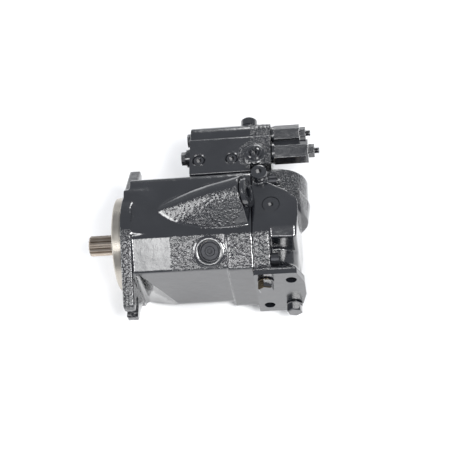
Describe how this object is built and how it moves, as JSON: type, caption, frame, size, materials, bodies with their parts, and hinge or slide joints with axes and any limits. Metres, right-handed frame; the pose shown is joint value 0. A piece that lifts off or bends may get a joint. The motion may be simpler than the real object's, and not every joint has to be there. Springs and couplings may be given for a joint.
{
  "type": "axial piston pump",
  "caption": "Variable axial piston pump: a splined shaft turns a cylinder block against a tilting swashplate, and a side-mounted spool valve sets its stroke by pressure and flow.",
  "frame": {"origin": "centre of the mounting flange's front face, on the drive shaft's axis", "axes": "+X along the shaft towards the end cap, +Y towards the control valve, +Z towards the stroking cylinder"},
  "size_m": [0.2545, 0.2269, 0.1416],
  "materials": {
    "black_painted_iron": "satin black paint over cast iron",
    "black_valve_paint": "gloss black paint",
    "blackened_steel": "black oxide",
    "ground_steel": "ground",
    "bearing_bronze": "machined",
    "seal_rubber": "matt",
    "spring_steel": "drawn wire"
  },
  "bodies": {
    "pump_case": {"bias_spring": "spring_steel", "blanking_plate": "black_painted_iron", "blanking_screw_lower": "blackened_steel", "blanking_screw_upper": "blackened_steel", "control_body": "black_valve_paint", "control_screw_1": "blackened_steel", "control_screw_2": "blackened_steel", "cradle_bearing_left": "bearing_bronze", "cradle_bearing_right": "bearing_bronze", "drain_plug": "bearing_bronze", "end_cap": "black_painted_iron", "end_cap_screw_1": "blackened_steel", "end_cap_screw_2": "blackened_steel", "end_cap_screw_3": "blackened_steel", "end_cap_screw_4": "blackened_steel", "end_cap_seal": "seal_rubber", "front_bearing_cup": "ground_steel", "gallery_plug_1": "blackened_steel", "gallery_plug_2": "blackened_steel", "gallery_plug_3": "blackened_steel", "housing": "black_painted_iron", "load_sense_plug": "blackened_steel", "ls_adjuster_barrel": "black_valve_paint", "ls_lock_nut": "blackened_steel", "ls_spool_plug": "blackened_steel", "ls_spring": "spring_steel", "passage_plug": "black_painted_iron", "pc_adjuster_barrel": "black_valve_paint", "pc_lock_nut": "blackened_steel", "pc_spool_plug": "blackened_steel", "pc_spring": "spring_steel", "pilot_plug": "blackened_steel", "rear_bearing_cup": "ground_steel", "servo_plug": "black_painted_iron", "shaft_seal": "seal_rubber", "valve_plate": "bearing_bronze"},
    "rotating_group": {"drive_shaft": "ground_steel", "front_bearing_cone": "ground_steel", "rear_bearing_cone": "ground_steel", "cylinder_block": "ground_steel", "block_spring": "spring_steel"},
    "piston_group": {"piston_1": "ground_steel", "piston_2": "ground_steel", "piston_3": "ground_steel", "piston_4": "ground_steel", "piston_5": "ground_steel", "piston_6": "ground_steel", "piston_7": "ground_steel", "piston_8": "ground_steel", "piston_9": "ground_steel", "retainer_plate": "ground_steel", "ball_guide": "ground_steel"},
    "swashplate": {"swashplate": "ground_steel"},
    "servo_piston": {"servo_piston": "ground_steel"},
    "bias_piston": {"bias_piston": "ground_steel"},
    "pc_spool": {"pc_spool": "ground_steel"},
    "ls_spool": {"ls_spool": "ground_steel"},
    "pc_adjust_screw": {"pc_adjust_screw": "blackened_steel"},
    "ls_adjust_screw": {"ls_adjust_screw": "blackened_steel"}
  },
  "joints": [
    {"name": "shaft_spin", "type": "hinge", "parent": "pump_case", "child": "rotating_group", "pos_m": [0, 0, 0], "axis": [1, 0, 0], "continuous": true},
    {"name": "swash_tilt", "type": "hinge", "parent": "pump_case", "child": "swashplate", "pos_m": [0.054, 0, 0], "axis": [0, 1, 0], "range_deg": [0, 17]},
    {"name": "piston_retract", "type": "slide", "parent": "rotating_group", "child": "piston_group", "axis": [1, 0, 0], "range_m": [0, 0.0116], "deforming": ["block_spring"]},
    {"name": "servo_slide", "type": "slide", "parent": "pump_case", "child": "servo_piston", "axis": [0.9563, 0, 0.2924], "range_m": [0, 0.0147]},
    {"name": "bias_slide", "type": "slide", "parent": "pump_case", "child": "bias_piston", "axis": [1, 0, 0], "range_m": [0, 0.0089], "deforming": ["bias_spring"]},
    {"name": "pc_spool_slide", "type": "slide", "parent": "pump_case", "child": "pc_spool", "axis": [1, 0, 0], "range_m": [0, 0.003], "stiffness_N_per_m": 4000, "springref_m": -0.002, "deforming": ["pc_spring"]},
    {"name": "ls_spool_slide", "type": "slide", "parent": "pump_case", "child": "ls_spool", "axis": [1, 0, 0], "range_m": [0, 0.003], "stiffness_N_per_m": 4000, "springref_m": -0.002, "deforming": ["ls_spring"]},
    {"name": "pc_adjust_turn", "type": "hinge", "parent": "pump_case", "child": "pc_adjust_screw", "pos_m": [0.16, 0.1169, 0.022], "axis": [1, 0, 0], "range_deg": [-180, 180]},
    {"name": "ls_adjust_turn", "type": "hinge", "parent": "pump_case", "child": "ls_adjust_screw", "pos_m": [0.16, 0.0929, 0.022], "axis": [1, 0, 0], "range_deg": [-180, 180]}
  ],
  "couplings": [
    {"joint": "piston_retract", "follows": "swash_tilt", "m_per_rad": 0.03874},
    {"joint": "servo_slide", "follows": "swash_tilt", "m_per_rad": 0.04894},
    {"joint": "bias_slide", "follows": "swash_tilt", "m_per_rad": 0.02939}
  ]
}
